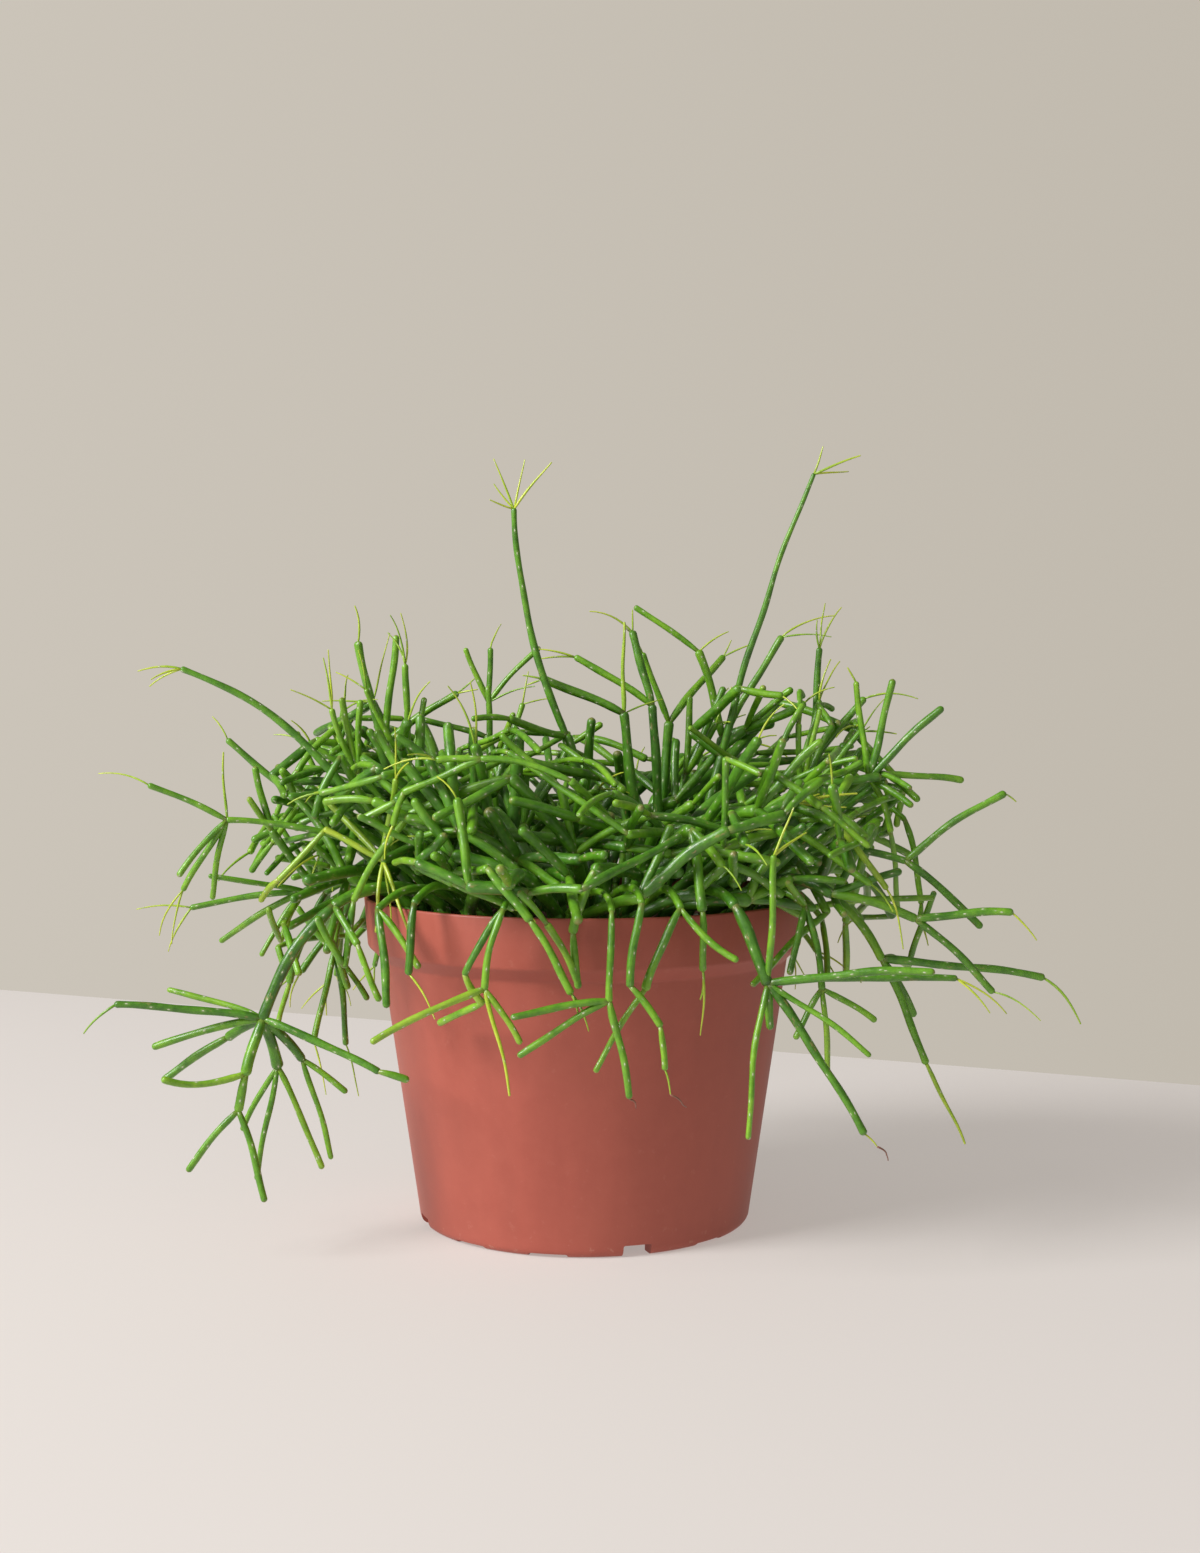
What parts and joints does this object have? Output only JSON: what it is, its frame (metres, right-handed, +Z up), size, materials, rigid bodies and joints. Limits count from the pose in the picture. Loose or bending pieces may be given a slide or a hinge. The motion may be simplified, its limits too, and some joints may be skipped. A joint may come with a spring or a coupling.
{
  "type": "potted mistletoe cactus",
  "caption": "Mistletoe cactus with slender branching stems, spilling over the rim of a tapered terracotta-coloured plastic nursery pot.",
  "frame": {"origin": "middle of the pot's foot, on the surface that it stands on", "axes": "+Z up, +X to the right and -Y towards the viewer of the plant's front"},
  "size_m": [0.3181, 0.2292, 0.2639],
  "materials": {
    "pot_plastic": "satin moulded plastic, terracotta colour",
    "potting_mix": "damp peat with bark and perlite",
    "green_stem": "smooth fleshy skin, slightly waxy"
  },
  "bodies": {
    "root": {"arching_shoot_left": "green_stem", "back_drop_1": "green_stem", "back_drop_2": "green_stem", "back_drop_3": "green_stem", "back_drop_4": "green_stem", "back_drop_5": "green_stem", "back_drop_6": "green_stem", "back_drop_7": "green_stem", "back_left_fork": "green_stem", "crown_fork_centre": "green_stem", "crown_fork_left": "green_stem", "crown_fork_right": "green_stem", "crown_reach": "green_stem", "cushion_stem_1": "green_stem", "cushion_stem_10": "green_stem", "cushion_stem_11": "green_stem", "cushion_stem_12": "green_stem", "cushion_stem_13": "green_stem", "cushion_stem_14": "green_stem", "cushion_stem_15": "green_stem", "cushion_stem_16": "green_stem", "cushion_stem_17": "green_stem", "cushion_stem_2": "green_stem", "cushion_stem_3": "green_stem", "cushion_stem_4": "green_stem", "cushion_stem_5": "green_stem", "cushion_stem_6": "green_stem", "cushion_stem_7": "green_stem", "cushion_stem_8": "green_stem", "cushion_stem_9": "green_stem", "drooping_triple": "green_stem", "front_drop_far_left": "green_stem", "front_drop_left": "green_stem", "front_drop_middle": "green_stem", "front_drop_right": "green_stem", "front_fork_right": "green_stem", "front_hook_left": "green_stem", "front_right_whorl": "green_stem", "left_crown": "green_stem", "left_drop": "green_stem", "left_fan": "green_stem", "left_low_fork": "green_stem", "left_low_spray": "green_stem", "left_reach": "green_stem", "left_trailing_pair": "green_stem", "left_trailing_spray": "green_stem", "left_whorl": "green_stem", "pot": "pot_plastic", "potting_mix": "potting_mix", "right_crown_back": "green_stem", "right_crown_fork": "green_stem", "right_drop": "green_stem", "right_low_spray": "green_stem", "right_mid_spray": "green_stem", "right_reach": "green_stem", "right_trailing_spray": "green_stem", "right_upper_spray": "green_stem", "tall_shoot_left": "green_stem", "tall_shoot_right": "green_stem", "yellow_whorl": "green_stem"}
  },
  "joints": []
}
